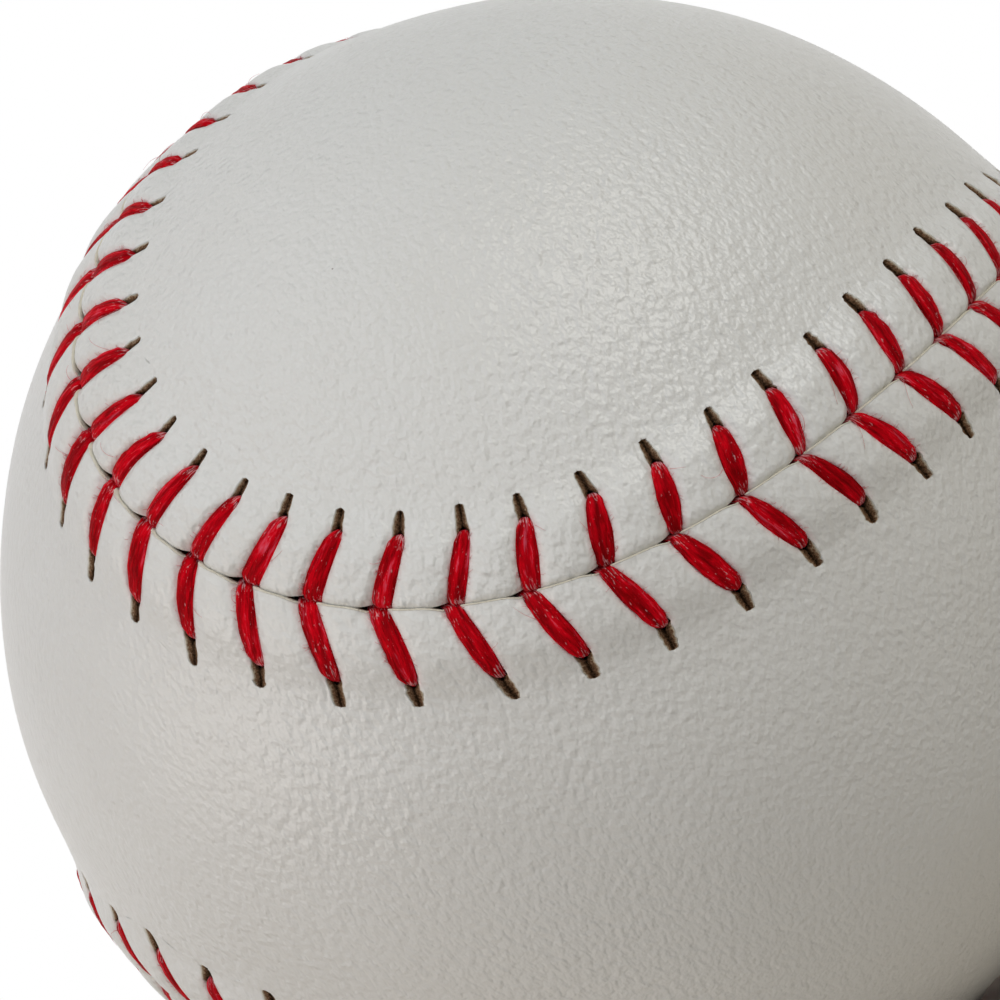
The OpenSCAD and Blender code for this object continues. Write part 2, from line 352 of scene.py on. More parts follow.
def makeLeather(name, grainDeep):
    # Tanned cowhide with a sprayed white finish: a satin skin with fine wrinkles, and raw brown
    # fibre where it is cut, painted darker the deeper it lies (painted shade) and bright at the cut edge
    # (painted highlight)
    material, node = startMaterial(name)
    look, relief = leatherLook, leatherLook["relief"]
    place = node("TexCoord").outputs["Object"]
    # depth sets the painted shade of the cut fibre; flesh marks the cut, rub the red lint, pucker the folds
    masks = {name: node("Attribute", dict(attribute_name=name)).outputs["Fac"]
             for name in ("flesh", "depth", "rub", "pucker")}
    # the skin's wrinkles run longer one way
    drawn = node("Mapping", Vector=place, Rotation=(0.5, 0.9, 0.3), Scale=(1, 1, 0.75))
    cloud = node("TexNoise", Vector=place, Scale=60.0, Detail=3.0)
    grain = node("TexNoise", Vector=drawn, Scale=1000 / look["grainWidth"], Detail=1.0, Roughness=0.45)
    pebble = node("TexVoronoi", dict(feature="SMOOTH_F1"), Vector=drawn,
                  Scale=1000 / look["pebbleWidth"], Smoothness=1.0)
    fine = node("TexNoise", Vector=place, Scale=1000 / look["fineWidth"], Detail=1.0)
    fold = node("TexNoise", Vector=place, Scale=1000 / look["foldWidth"], Detail=1.0, Roughness=0.4)
    fibre = node("TexNoise", Vector=place, Scale=1000 / look["fibreWidth"], Detail=4.0, Roughness=0.7)

    coat = node("Mix", colours, i0=cloud, i6=toLinear(look["coat"]), i7=toLinear(look["coatWarm"]))
    # a few dark specks
    dots = node("TexVoronoi", Vector=place, Scale=look["speckCells"])
    chance = node("SeparateColor", Color=dots.outputs["Color"])
    chosen = node("Math", dict(operation="GREATER_THAN"), i0=chance, i1=look["speckRare"])
    near = node("Math", dict(operation="LESS_THAN"), i0=dots,
                i1=look["speckCells"] / 1000 * look["speckWidth"] / 2)
    speck = node("Math", multiply, i0=chosen, i1=near)
    speck = node("Math", multiply, i0=speck, i1=look["speckStrength"])
    coat = node("Mix", colours, i0=speck, i6=coat, i7=toLinear(look["speck"]))
    # red lint that the thread leaves beside it
    lint = node("ValToRGB", dict(stops=[(0.3, 0.25), (0.62, 1)]), Fac=fibre)
    lint = node("Math", multiply, i0=lint, i1=masks["rub"])
    lint = node("Math", multiply, i0=lint, i1=look["lintStrength"])
    coat = node("Mix", colours, i0=lint, i6=coat, i7=toLinear(look["rub"]))

    # the raw fibre's brown has light and dark streaks of its own, and is painted darker the deeper it lies in
    # a cut or slit: painted shade
    fibreShadedByDepth = node("Math", multiplyAdd, i0=masks["depth"], i1=-0.7, i2=0.37)
    fibreShadedByDepth = node("Math", add, i0=fibre, i1=fibreShadedByDepth)
    shades = [(0.34, look["fleshDarkInShade"]), (0.58, look["flesh"]), (0.74, look["fleshPale"])]
    raw = node("ValToRGB", dict(stops=shades), Fac=fibreShadedByDepth)
    # the cut edge is cream at the top, brighter than the skin as a painted highlight, and turns to the shaded
    # brown below
    deep = node("ValToRGB", dict(stops=[(0.1, 0), (0.35, 1)]), Fac=masks["depth"])
    cut = node("Mix", colours, i0=deep, i6=toLinear(look["litCutEdge"]), i7=raw)
    colour = node("Mix", colours, i0=masks["flesh"], i6=coat, i7=cut)

    height = node("Math", multiply, i0=fine, i1=relief["fine"])
    height = node("Math", multiplyAdd, i0=grain, i1=relief["grain"], i2=height)
    height = node("Math", multiplyAdd, i0=pebble, i1=relief["pebble"], i2=height)
    folded = node("Math", multiply, i0=fold, i1=masks["pucker"])
    height = node("Math", multiplyAdd, i0=folded, i1=relief["fold"], i2=height)
    ragged = node("Math", multiply, i0=fibre, i1=masks["flesh"])
    height = node("Math", multiplyAdd, i0=ragged, i1=relief["fibre"], i2=height)
    bump = node("Bump", Strength=1.0, Distance=grainDeep, Height=height)
    # only the finished skin shines
    shine = node("MapRange", Value=masks["flesh"], To_Min=look["shine"], To_Max=look["fleshShine"])
    shader = node("BsdfPrincipled", Base_Color=colour, IOR=1.5, Specular_IOR_Level=shine,
                  Roughness=look["roughness"], Normal=bump)
    node("OutputMaterial", Surface=shader)
    return material


threadLook = dict(
    bright="#DC0118",
    deep="#8A0006",
    pinkHighlight="#E4566C",
    # groove: painted shade in the grooves between the plies
    groove="#560005",
    waxAndHighlight="#F2B4B9",
    filament=0.12,           # millimetres, one strand across
    bundle=0.45,             # a bundle of strands of one shade
    strandStretch=0.11,      # both are far longer than wide
    grooveShadeStrength=0.5,
    flake=0.1,               # of wax, a little longer than wide
    flakeStretch=0.22,
    flakeFrom=0.82,          # the noise's height where a flake starts, and where it is full
    flakeTo=0.92,
    flakeHighlightStrength=0.75,
    patchEach=1.1,           # patches of flakes, to a millimetre
    wornMore=0.15,
    fibreClear=0.4,          # how much paler a loose fibre is
    relief=0.00012,          # metres
    roughness=0.5,
    shine=0.03,
    sheen=0.1,
)


def makeThread():
    # Waxed cotton thread: parallel filaments under a thin wax, with pale flakes where it was pulled; the
    # flakes and the palest filaments also stand in for its highlights, and its grooves have painted shade
    material, node = startMaterial("waxedCotton")
    look = threadLook
    run = node("UVMap", dict(uv_map="thread"))
    groove = node("Attribute", dict(attribute_name="groove")).outputs["Fac"]
    worn = node("Attribute", dict(attribute_name="worn")).outputs["Fac"]
    lengthwise = node("Mapping", Vector=run, Scale=(look["strandStretch"], 1, 1))
    strand = node("TexNoise", Vector=lengthwise, Scale=1 / look["filament"], Detail=3.0,
                  Roughness=0.65, Distortion=0.3)
    bundle = node("TexNoise", Vector=lengthwise, Scale=1 / look["bundle"], Detail=2.0)
    mixed = node("Math", multiplyAdd, i0=bundle, i1=1.0, i2=strand)
    # filaments run from the thread's own deep red to bright red, with painted highlights at the palest
    shades = [(0.0, look["deep"]), (0.62, look["bright"]), (1.0, look["pinkHighlight"])]
    shade = node("ValToRGB", dict(stops=shades),
                 Fac=node("MapRange", Value=mixed, From_Min=0.8, From_Max=1.34))
    # the grooves between the plies are painted darker: painted shade
    grooveShade = node("Math", multiply, i0=groove, i1=look["grooveShadeStrength"])
    colour = node("Mix", colours, i0=grooveShade, i6=shade, i7=toLinear(look["groove"]))
    # pale flakes of wax lie in patches, and they stand in for the thread's highlights too: partly painted
    # highlight
    along = node("Mapping", Vector=run, Scale=(look["flakeStretch"], 1, 1))
    flake = node("TexNoise", Vector=along, Scale=1 / look["flake"], Detail=3.0, Roughness=0.65)
    patch = node("TexNoise", Vector=run, Scale=look["patchEach"], Detail=1.0)
    raised = node("Math", multiplyAdd, i0=patch, i1=0.35, i2=flake)
    raised = node("Math", multiplyAdd, i0=worn, i1=look["wornMore"], i2=raised)
    raised = node("MapRange", Value=raised, From_Min=look["flakeFrom"], From_Max=look["flakeTo"])
    flake = node("ValToRGB", dict(stops=[(0.0, 0), (1.0, 1)]), Fac=raised)
    flake = node("Math", multiply, i0=flake, i1=look["flakeHighlightStrength"])
    colour = node("Mix", colours, i0=flake, i6=colour, i7=toLinear(look["waxAndHighlight"]))
    # fibres that stand loose are so thin that light comes through them
    loose = node("MapRange", Value=worn, From_Min=0.0, From_Max=-1.0, To_Max=look["fibreClear"])
    colour = node("Mix", colours, i0=loose, i6=colour, i7=toLinear(look["waxAndHighlight"]))
    height = node("Math", multiplyAdd, i0=flake, i1=0.3, i2=strand)
    bump = node("Bump", Strength=1.0, Distance=look["relief"], Height=height)
    # the finest fibres only show as a soft, lighter outline
    shader = node("BsdfPrincipled", Base_Color=colour, IOR=1.48, Specular_IOR_Level=look["shine"],
                  Roughness=look["roughness"], Sheen_Weight=look["sheen"], Sheen_Roughness=0.4,
                  Sheen_Tint=toLinear(look["pinkHighlight"]), Normal=bump)
    node("OutputMaterial", Surface=shader)
    return material


# Leather panels. Each stitch has 20 columns that follow its legs, packed about the slit, and
# rows from the cut edge outward. Between the two innermost columns the slit opens.

panel = dict(
    # distances of ten columns from a leg's flank, and of its slit's lips, on either side
    byFlank=[-9, -0.34, -0.21, -0.12, -0.03, 0.08, 0.22, 0.42, 0.7, 1.06],
    bySlit=[0, 0.05, 0.12, 0.2, 0.3, 0.42, 0.58, 0.8, 1.1, 1.45],
    closest=0.035,           # the least distance between two columns
    # rows from the crease to where a slit starts, along it, and on to the end of the band
    creaseShares=[0, 0.012, 0.03, 0.057, 0.09, 0.13, 0.178, 0.234, 0.298, 0.37, 0.45, 0.535, 0.625, 0.715,
                  0.81, 0.91],
    slitShares=[0, 0.035, 0.1, 0.18, 0.27, 0.36, 0.45, 0.54, 0.63, 0.72, 0.8, 0.87, 0.93, 0.975, 1],
    outerShares=[0.07, 0.17, 0.31, 0.5, 0.73, 1],
    bandEnd=8.0,
    fillFrom=8.7,            # where the coarser middle of the panel starts
    fillEach=5,              # its ring's points for each stitch
    fillAcross=40,
    edgeGap=(-0.04, 0.1),    # from the middle of the crease to each cut edge, between two stitches
    crossGap=0.22,           # and where the threads pass
    wedge=0.22,              # how far the dark wedge before a crossing opens, and where it starts
    wedgeReach=1.1,
    crossFade=0.3,           # over what distance the edge comes back from the threads
    holeBefore=0.15,         # how far before its hole the leg starts to go down, and over what distance
    holeFade=0.5,
    puff=0.57,               # how high the leather swells between two legs
    puffPull=0.2,            # how much more where the tongues pull
    puffFrom=2.5,            # where the swelling starts to go down, and over what distance
    puffFade=3.1,
    edgeShare=0.9,           # how much of it there is at the cut edge, and over what distance it grows
    edgeReach=0.9,
    stepWidth=0.32,          # how wide the leather's step up beside the thread is
    softWidth=0.42,          # and how soon it swells behind that
    rimOver=0.18,            # how far its rim stands over the middle of the leg
    slitUneven=0.03,         # how ragged a slit's lips are
    slitLeast=0.015,         # and how open it is at its ends
    slitPower=0.22,
    slitDip=0.1,             # the leather sinks about a slit and stands up at one lip
    slitLip=0.05,
    besideFrom=0.5,          # the middle of both, past the hole, and their reach along the slit
    besideReach=0.95,
    dipWidth=0.75,           # and across it
    lipFrom=0.5,
    lipWidth=0.2,
    rubWidth=0.15,           # how far the red lint spreads from a leg
    puckerFrom=3,            # where the folds of the skin start to fade, and over what distance
    puckerFade=3.5,
    puckerShares=(1.0, 0.45),
    edgeRound=0.26,          # the rear panel's cut edge is rounded down, over what distance
    roundWidth=0.42,
    # each cut edge goes down to the flesh side in steps: drop, shift towards the crease, and the depth that
    # sets its painted shade
    walls=(((0.04, 0.0, 0.05), (0.16, 0.0, 0.35), (0.5, 0.0, 0.9)),
           ((0.0, 0.02, 0.01), (0.02, 0.08, 0.01), (0.1, 0.1, 0.06), (0.3, 0.11, 0.14), (0.66, 0.11, 0.9))),
    # and so does a slit: drop, the depth that sets its painted shade, and how open it stays past the thread
    slitWalls=((0.07, 0.24, 0.88), (0.17, 0.5, 0.55), (0.26, 0.75, 0.0)),
    innerRows=(0, 9, 14),    # rows of the crease that the flesh side has too
    innerEach=2,             # and its coarser middle
    innerAcross=14,
)
columns = 2 * len(panel["byFlank"])
leftLip = columns // 2 - 1

windings = dict(
    # they show through the leather as slow, shallow waves: how many, how long and how high
    waves=28,
    shortest=9,
    longest=26,
    height=0.011,
)
lumpWaves = rng.normal(0, 1, (windings["waves"], 3))
lumpLengths = rng.uniform(windings["shortest"], windings["longest"], windings["waves"])
lumpWaves *= (2 * math.pi / lumpLengths / np.linalg.norm(lumpWaves, axis=1))[:, None]
lumpStarts = rng.uniform(0, 2 * math.pi, windings["waves"])


def lumps(dirs):
    return windings["height"] * np.sin(dirs @ (lumpWaves.T * ball["radius"]) + lumpStarts).sum(-1)


def slitHalf(row, u):
    start, end = stitch["slitFrom"][row], stitch["slitTo"][row]
    inside = np.clip(1 - ((2 * u - start - end) / (end - start)) ** 2, 0, 1)
    return panel["slitLeast"] + (stitch["slitHalf"] - panel["slitLeast"]) * inside ** panel["slitPower"]


def legHalf(row, k, u):
    return legWidth(row, k, u / holeAt[row, k]) / 2


def evened(row, u):
    # past the slits the columns turn from their stitches to even steps
    end = stitch["slitTo"][row] + 0.08
    return smooth((u - end) / (panel["bandEnd"] - end))


def pastHole(row, k, u):
    # 0 where the leg lies on the leather, and 1 where only the slit goes on
    return smooth((u - holeAt[row, k] + panel["holeBefore"]) / panel["holeFade"])


def columnSpread(row, u, ragged):
    # distances of the columns of every stitch from its leg's middle line, in millimetres
    half, lips = legHalf(row, everyStitch[None, :], u[:, None]), slitHalf(row, u)[:, None] + ragged
    right = []
    share = pastHole(row, everyStitch, u[:, None])
    for i, (flank, lip) in enumerate(zip(panel["byFlank"], panel["bySlit"])):
        byFlank = half + flank
        if i == 0:
            byFlank = lips
        elif i == 1:
            byFlank = 0.45 * byFlank    # under the leg, nearer its middle
        place = byFlank * (1 - share) + (lips + lip) * share
        right.append(place if i == 0 else np.maximum(place, right[-1] + panel["closest"]))
    right = np.stack(right, -1)
    packed = np.concatenate([-right[..., ::-1], right], -1)
    even = (np.arange(columns) - (columns - 1) / 2) * pitch / columns
    share = evened(row, u)[:, None, None]
    return (packed * (1 - share) + even * share).reshape(len(u), -1)


def edgeAt(row, k, p):
    # how far a cut edge lies from the crease, p millimetres past a crossing that pushes it back
    half, gap = legHalf(row, k, 0), panel["edgeGap"][row]
    fade, reach = panel["crossFade"], panel["wedgeReach"]
    push = smooth((p + half + 0.12) / fade) * (1 - smooth((p - half + fade) / fade))
    wedge = panel["wedge"] * np.clip((p + half + reach) / reach, 0, 1) ** 1.5 * (p < 0)
    return gap + wedge + (panel["crossGap"] - wedge - gap) * push


def leatherHeight(row, k, p, u):
    hole = holeAt[row, k]
    v = np.clip(u / hole, 0, 1)
    q = np.where(p > 0, p, pitch + p)
    leftLeg, rightLeg = np.where(p > 0, k, k - 1), np.where(p > 0, k + 1, k)
    fromLeft = q - legHalf(row, np.mod(leftLeg, stitchCount), u)
    toRight = pitch - q - legHalf(row, np.mod(rightLeg, stitchCount), u)
    # the leather comes up steeply beside the thread, a little over its flanks, and swells between
    # two legs
    step, soft = panel["stepWidth"], panel["softWidth"]
    up = smooth((fromLeft + step) / step) * smooth((toRight + step) / step)
    swell = 1 - sum(np.exp(-np.maximum(gap + 0.06, 0) / soft) for gap in (fromLeft, toRight))
    fade = 1 - smooth((u - panel["puffFrom"]) / panel["puffFade"])
    grown = panel["edgeShare"] + (1 - panel["edgeShare"]) * smooth(u / panel["edgeReach"])
    amount = panel["puff"] * grown * fade * (1 + panel["puffPull"] * pull[k])
    rim = np.minimum(legHeight(v) + panel["rimOver"], amount)
    crown = rim + (amount - rim) * np.clip(swell, 0, 1)
    floor = legHeight(v) - legThick(v) / 2 + 0.03
    outside = pastHole(row, k, u)
    height = baseLift(u) + crown * (up * (1 - outside) + outside) + floor * (1 - up) * (1 - outside)
    near = np.minimum(q, pitch - q)
    beside = np.exp(-((u - hole - panel["besideFrom"]) / panel["besideReach"]) ** 2)
    height -= panel["slitDip"] * beside * np.exp(-(near / panel["dipWidth"]) ** 2)
    height += panel["slitLip"] * beside * np.exp(-((q - panel["lipFrom"]) / panel["lipWidth"]) ** 2)
    if row == 0:
        height -= panel["edgeRound"] * np.clip(1 - u / panel["roundWidth"], 0, 1) ** 2
    return height


def innerHeight(u):
    return -ball["leather"] + ball["seamLift"] * (1 - smooth((u - ball["liftFrom"]) / ball["liftOver"]))


def zipRows(a, b, ta, tb):
    # triangles between two closed rows of points with their places ta and tb along the seam
    triangles, i, j = [], 0, 0
    while i < len(a) or j < len(b):
        nextA = ta[(i + 1) % len(a)] + (i + 1 >= len(a)) if i < len(a) else math.inf
        nextB = tb[(j + 1) % len(b)] + (j + 1 >= len(b)) if j < len(b) else math.inf
        if nextA <= nextB:
            triangles.append((a[i % len(a)], a[(i + 1) % len(a)], b[j % len(b)]))
            i += 1
        else:
            triangles.append((a[i % len(a)], b[(j + 1) % len(b)], b[j % len(b)]))
            j += 1
    return triangles


def quads(grid):
    # two triangles for each cell of a grid of point numbers whose columns close round
    a, b = grid[:-1], grid[1:]
    an, bn = np.roll(a, -1, axis=1), np.roll(b, -1, axis=1)
    return triangleRows((a, an, bn), (a, bn, b))


def slitted(grid, each, column, first, last):
    # the same, without the cells after one column of every stitch, where its slit is open
    atRow, atColumn = np.indices((len(grid) - 1, grid.shape[1])).reshape(2, -1)
    inSlit = (atColumn % each == column) & (atRow >= first) & (atRow < last)
    return quads(grid)[~np.tile(inSlit, 2)]


def makePanel(name, row, material):
    side = sides[row]
    points, masks, triangles = [], [], []

    def addPoints(dirs, heights, flesh, depth, rub=0.0, pucker=0.0):
        first = sum(len(p) for p in points)
        shape = heights.shape
        points.append(((ball["radius"] + heights)[..., None] * dirs).reshape(-1, 3))
        masks.append(np.stack([np.broadcast_to(np.asarray(m, float), shape).ravel()
                               for m in (flesh, depth, rub, pucker)], -1))
        return first + np.arange(heights.size).reshape(shape)

    start, end = stitch["slitFrom"][row], stitch["slitTo"][row]
    rowsU = np.concatenate([np.array(panel["creaseShares"]) * start,
                            start + np.array(panel["slitShares"]) * (end - start),
                            end + np.array(panel["outerShares"]) * (panel["bandEnd"] - end)])
    slitFirst = len(panel["creaseShares"])
    slitLast = slitFirst + len(panel["slitShares"]) - 1
    k = np.repeat(everyStitch, columns)
    away = rowsU[:, None]
    u = np.repeat(away, len(k), 1)
    u = u + tipShift[row, k] * np.exp(-((u - end) / 0.8) ** 2)
    ragged = rng.normal(0, panel["slitUneven"], (len(rowsU), stitchCount))
    ragged[:slitFirst + 1] = ragged[slitLast:] = 0
    p = columnSpread(row, rowsU, ragged)
    # half way to the next leg the columns of two stitches lean alike, and outside the band all
    # of them stand evenly
    other = np.where(p > 0, k + 1, k - 1)
    lean = legOffset(row, k, u)
    lean = lean + 0.5 * np.clip(np.abs(p) / pitch * 2, 0, 1) ** 2 * (legOffset(row, other, u) - lean)
    x = k + (lean * (1 - evened(row, rowsU)[:, None]) + p) / pitch
    edge = edgeAt(row, k, p[0])
    u = u + edge * (1 - smooth(rowsU / 1.3))[:, None]
    dirs = direction(x, side * u)
    heights = leatherHeight(row, k, p, away) + lumps(dirs)
    near = np.abs(p) - legHalf(row, k, away)
    rub = np.exp(-(np.maximum(near, 0) / panel["rubWidth"]) ** 1.4)
    rub = rub * (1 - smooth((away - holeAt[row, k]) / 0.6))
    pucker = 1 - smooth((away - panel["puckerFrom"]) / panel["puckerFade"])
    pucker = pucker * smooth(near / 0.5) * panel["puckerShares"][row]
    outer = addPoints(dirs, heights, 0, 0, rub, pucker)
    triangles.append(slitted(outer, columns, leftLip, slitFirst, slitLast))

    # the cut edge, down to the flesh side
    top = heights[0]
    walls = [outer[0]]
    for drop, shift, depth in panel["walls"][row]:
        walls.append(addPoints(direction(x[0], side * (u[0] - shift)), top - drop, 1, depth))
    triangles.append(quads(np.stack(walls[::-1])))
    wallTurns = np.arange(outer.shape[1]) / outer.shape[1]

    # the flesh side, with three columns a stitch: its first one and the two lips of its slit
    rows = np.arange(slitFirst, slitLast + 1)
    left = everyStitch * columns + leftLip
    right = left + 1
    keep = np.sort(np.concatenate([everyStitch * columns, left, right]))
    innerFirst = len(panel["innerRows"])
    innerRows = [*panel["innerRows"], *rows, len(rowsU) - 3, len(rowsU) - 1]
    innerDirs = dirs[innerRows][:, keep]
    inner = addPoints(innerDirs, np.repeat(innerHeight(rowsU[innerRows])[:, None], len(keep), 1), 1, 1)
    triangles.append(np.array(zipRows(inner[0], walls[-1], wallTurns[keep], wallTurns)))
    triangles.append(slitted(inner, 3, 1, innerFirst, innerFirst + len(rows) - 1)[:, ::-1])

    # slit walls, from the skin down to the flesh side
    loopRows = np.concatenate([rows, rows[::-1]])[:, None]
    loopColumns = np.stack([left] * len(rows) + [right] * len(rows))
    ring = [outer[loopRows, loopColumns]]
    ringTop, ringX, ringU = [each[loopRows, loopColumns] for each in (heights, x, u)]
    middleX = (x[loopRows, left] + x[loopRows, right]) / 2
    shut = smooth((rowsU[loopRows] - holeAt[row] + 0.05) / 0.6)
    for drop, depth, keepOpen in panel["slitWalls"]:
        ringOpen = 1 - shut * (1 - keepOpen)
        ringDirs = direction(middleX + (ringX - middleX) * ringOpen, side * ringU)
        ring.append(addPoints(ringDirs, ringTop - drop, 1, depth))
    innerColumns = loopColumns // columns * 3 + loopColumns % columns - leftLip + 1
    ring.append(inner[loopRows - slitFirst + innerFirst, innerColumns])
    for a, b in zip(ring[:-1], ring[1:]):
        an, bn = np.roll(a, -1, axis=0), np.roll(b, -1, axis=0)
        triangles.append(triangleRows((a, b, bn), (a, bn, an)))

    # the smooth middle of the panel, in rows from one arm of the seam to the other
    for each, across, level, last, flesh in (
            (panel["fillEach"], panel["fillAcross"], 0.0, outer[-1], 0),
            (panel["innerEach"], panel["innerAcross"], -ball["leather"], inner[-1], 1)):
        size = each * stitchCount
        ringX = np.arange(size) / each
        ringDirs = direction(ringX, side * np.full(size, panel["fillFrom"]))
        lift = lumps(ringDirs) if flesh == 0 else 0
        ringPoints = addPoints(ringDirs, np.full(size, level) + lift, flesh, flesh)
        share = 3 / 8 if side > 0 else 1 / 8    # the place on the seam at one end of the panel
        fold = int(round(size * share - ball["firstStitchShare"] * each))
        lastTurns = (x[-1] if flesh == 0 else x[-1][keep]) / stitchCount
        skirt = zipRows(last, ringPoints, lastTurns, ringX / stitchCount)
        rowsDirs = []
        steps = np.linspace(0, 1, across + 1)[1:-1]
        for j in range(1, size // 2):
            a, b = ringDirs[(fold + j) % size], ringDirs[(fold - j) % size]
            w = math.acos(float(np.clip(a @ b, -1, 1)))
            arc = np.sin(w * (1 - steps))[:, None] * a + np.sin(w * steps)[:, None] * b
            rowsDirs.append(arc / math.sin(w))
        rowsDirs = np.array(rowsDirs)
        lift = lumps(rowsDirs) if flesh == 0 else 0
        middle = addPoints(rowsDirs, np.full(rowsDirs.shape[:2], level) + lift, flesh, flesh)
        ends = np.arange(1, size // 2)
        grid = np.concatenate([ringPoints[(fold + ends) % size][:, None], middle,
                               ringPoints[(fold - ends) % size][:, None]], 1)
        a, b = grid[:-1, :-1], grid[1:, :-1]
        c, d = grid[1:, 1:], grid[:-1, 1:]
        faces = [triangleRows((a, b, c), (a, c, d))]
        tips = [(grid[0], ringPoints[fold % size], False),
                (grid[-1], ringPoints[(fold + size // 2) % size], True)]
        for line, tip, flipped in tips:
            fan = np.array([(tip, line[i], line[i + 1]) for i in range(across)])
            faces.append(fan[:, ::-1] if flipped else fan)
        faces = np.concatenate(faces)
        if flesh:
            skirt = np.array(skirt)[:, ::-1]
            faces = faces[:, ::-1]
        triangles.append(np.array(skirt))
        triangles.append(faces)

    points, masks, triangles = np.concatenate(points), np.concatenate(masks), np.concatenate(triangles)
    if side < 0:
        triangles = triangles[:, ::-1]
    return addMesh(name, points, triangles, dict(zip(("flesh", "depth", "rub", "pucker"), masks.T)), material)


# Thread. Each needle's thread is one closed loop: up through a slit, over the leather as a leg,
# down the crease, and under the other panel to its slit one stitch further back.

thread = dict(
    sectionPoints=26,
    girth=2.9,               # the length round a section, for the filaments
    underAt=-1.18,           # the middle of the thread under the leather
    grooves=5,
    grooveDeep=0.11,
    grooveWidth=0.2,         # an angle round the section
    underside=0.75,          # how round the side is that lies on the leather
    uneven=0.09,
    twist=0.22,              # turn of the plies for each millimetre
    # short fibres that stand out beside a leg, and long ones: how many, their length, points
    lint=(28, 0.06, 0.38, 3),
    hairs=(1, 0.3, 2.4, 7),
    hairHalf=0.016,
    # places in the hole: how far past it, height over the leather (None is under it), width,
    # thickness and steps to the next place
    inHole=((0.22, None, 0.7, 0.44, 1), (0.16, -0.62, 0.72, 0.42, 2), (0.04, -0.2, 0.84, 0.44, 3)),
    legShares=(0.93, 0.82, 0.66, 0.5, 0.34, 0.2, 0.1),
    # and in the crease: how far from it, height, width (times the leg's where it still shows),
    # thickness and steps
    inCrease=((0.16, -0.26, 1.0, 0.44, 2), (0.0, -0.7, 0.8, 0.42, 1), (-0.25, None, 0.8, 0.44, 1)),
    # places on the way under the other panel, with their width and thickness
    underShares=(0.33, 0.7),
    underWidth=1.05,
    underThick=0.42,
    apart=(0.45, 0.12),      # how far the two threads stay apart in the crease, and just over it
)


def fibreTubes(paths, half):
    # thin three-sided fibres along rows of points
    tangent = np.gradient(paths, axis=1)
    a = np.cross(tangent, paths)
    a /= np.linalg.norm(a, axis=-1, keepdims=True)
    b = np.cross(a, tangent)
    b /= np.linalg.norm(b, axis=-1, keepdims=True)
    count, steps = paths.shape[:2]
    thin = half * np.linspace(1, 0.45, steps)[None, :, None]
    thirds = (0, 2.0944, 4.1888)
    corners = np.stack([paths + thin * (math.cos(t) * a + math.sin(t) * b) for t in thirds], 2)
    ids = np.arange(count * steps * 3).reshape(count, steps, 3)
    a, b = ids[:, :-1], ids[:, 1:]
    an, bn = np.roll(a, -1, 2), np.roll(b, -1, 2)
    triangles = [triangleRows((a, bn, an), (a, b, bn)), ids[:, 0], ids[:, -1][:, ::-1]]
    return corners.reshape(-1, 3), np.concatenate(triangles)


def looseFibres(firstRow, legs, shortest, longest, steps):
    # fibres that leave a leg's flank, curl a little and lie on the leather
    k = np.repeat(everyStitch, legs)
    row = np.where((stitchCount - k) % stitchCount % 2 == 0, firstRow, 1 - firstRow)
    count = len(k)
    v = rng.uniform(0.04, 0.97, count)
    flank = rng.choice([-1, 1], count)
    length = shortest + (longest - shortest) * rng.uniform(0, 1, count) ** 2
    slant, curl = rng.uniform(-1.1, 1.1, count), rng.normal(0, 0.45, count)
    share = np.linspace(0, 1, steps)[None, :]
    turn = slant[:, None] + curl[:, None] * share
    goes = length[:, None] * share
    paths = np.zeros((count, steps, 3))
    for which in (0, 1):
        mine = row == which
        own = k[mine, None]
        hole = holeAt[which, own]
        u = np.maximum(v[mine, None] * hole + goes[mine] * np.sin(turn[mine]), 0.12)
        half = legHalf(which, own, u)
        p = flank[mine, None] * (half * 0.85 + goes[mine] * np.cos(turn[mine]))
        skin = leatherHeight(which, own, p, u)
        top = baseLift(u) + legHeight(u / hole) + 0.1
        lie = np.maximum(skin + 0.03, top + (skin + 0.05 - top) * np.clip(goes[mine] / 0.5, 0, 1))
        lie = lie + 0.1 * np.sin(math.pi * share) * np.minimum(length[mine, None], 0.8)
        x = own + (legOffset(which, own, u) + p) / pitch
        paths[mine] = (ball["radius"] + lie)[..., None] * direction(x, sides[which] * u)
    return fibreTubes(paths, thread["hairHalf"])


